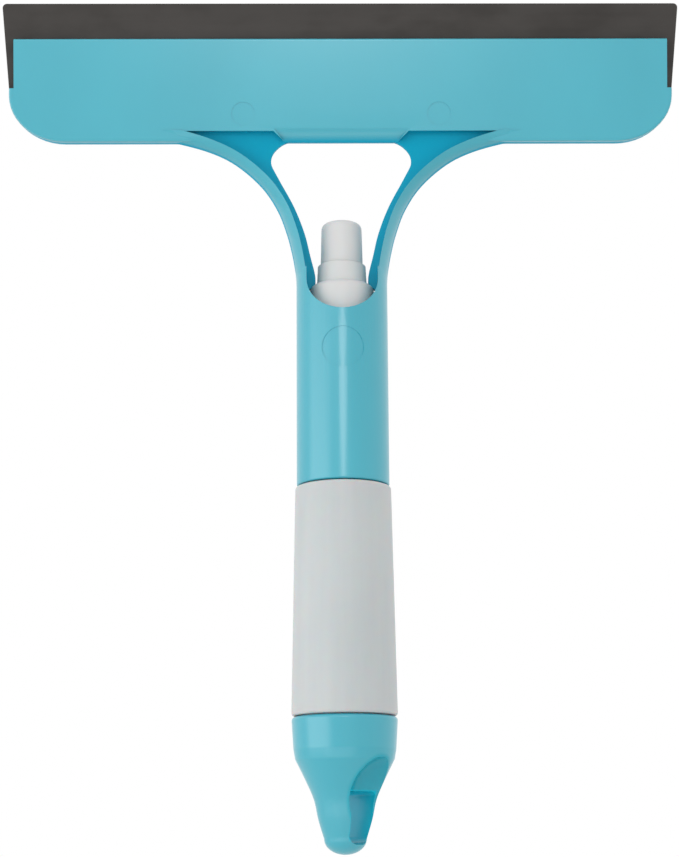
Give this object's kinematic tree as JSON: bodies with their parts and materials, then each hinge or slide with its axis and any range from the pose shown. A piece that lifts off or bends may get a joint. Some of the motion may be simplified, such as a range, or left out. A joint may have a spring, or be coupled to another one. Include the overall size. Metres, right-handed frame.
{
  "type": "window cleaning squeegee",
  "caption": "Hand squeegee with a wide rubber blade, a wishbone neck and a refillable spray bottle as the handle's grip.",
  "frame": {"origin": "on the handle's axis at the middle of the grip, where a hand holds it", "axes": "+Z along the handle towards the blade, X along the blade, -Y the user's side, +Y the glass side that the spray leaves towards"},
  "size_m": [0.2102, 0.0314, 0.2598],
  "materials": {
    "blue_plastic": "semi-gloss moulded",
    "dark_rubber": "matt",
    "milky_plastic": "translucent blown",
    "white_plastic": "satin moulded",
    "clear_tube": "clear extruded",
    "soft_seal": "soft foam",
    "steel": "bright wire"
  },
  "bodies": {
    "handle": {"handle_frame": "blue_plastic", "rubber_blade": "dark_rubber", "bottle": "milky_plastic", "sprayer_collar": "white_plastic", "collar_gasket": "soft_seal", "pump_gland": "white_plastic", "pump_cylinder": "milky_plastic", "pump_spring": "steel", "dip_tube": "clear_tube"},
    "pump_plunger": {"pump_stem": "white_plastic", "stem_piston": "soft_seal"},
    "button": {"spray_button": "white_plastic", "spray_nozzle": "white_plastic"},
    "ball": {"inlet_ball": "steel"},
    "cap_seal": {"end_cap_seal": "soft_seal"},
    "cap": {"end_cap": "blue_plastic"}
  },
  "joints": [
    {"name": "pump_press", "type": "slide", "parent": "handle", "child": "pump_plunger", "axis": [0, 0, -1], "range_m": [0, 0.0055], "stiffness_N_per_m": 1500, "springref_m": -0.002, "deforming": ["pump_spring"]},
    {"name": "button_turn", "type": "hinge", "parent": "pump_plunger", "child": "button", "pos_m": [0, 0, 0.0964], "axis": [0, 0, 1], "continuous": true},
    {"name": "inlet_ball_lift", "type": "slide", "parent": "handle", "child": "ball", "axis": [0, 0, 1], "range_m": [0, 0.0008]},
    {"name": "end_cap_travel", "type": "slide", "parent": "handle", "child": "cap_seal", "axis": [0, 0, -1], "range_m": [0, 0.0045]},
    {"name": "end_cap_turn", "type": "hinge", "parent": "cap_seal", "child": "cap", "pos_m": [0, 0, -0.0478], "axis": [0, 0, -1], "range_deg": [0, 540]}
  ],
  "couplings": [
    {"joint": "end_cap_travel", "follows": "end_cap_turn", "m_per_rad": 0.0004774}
  ]
}
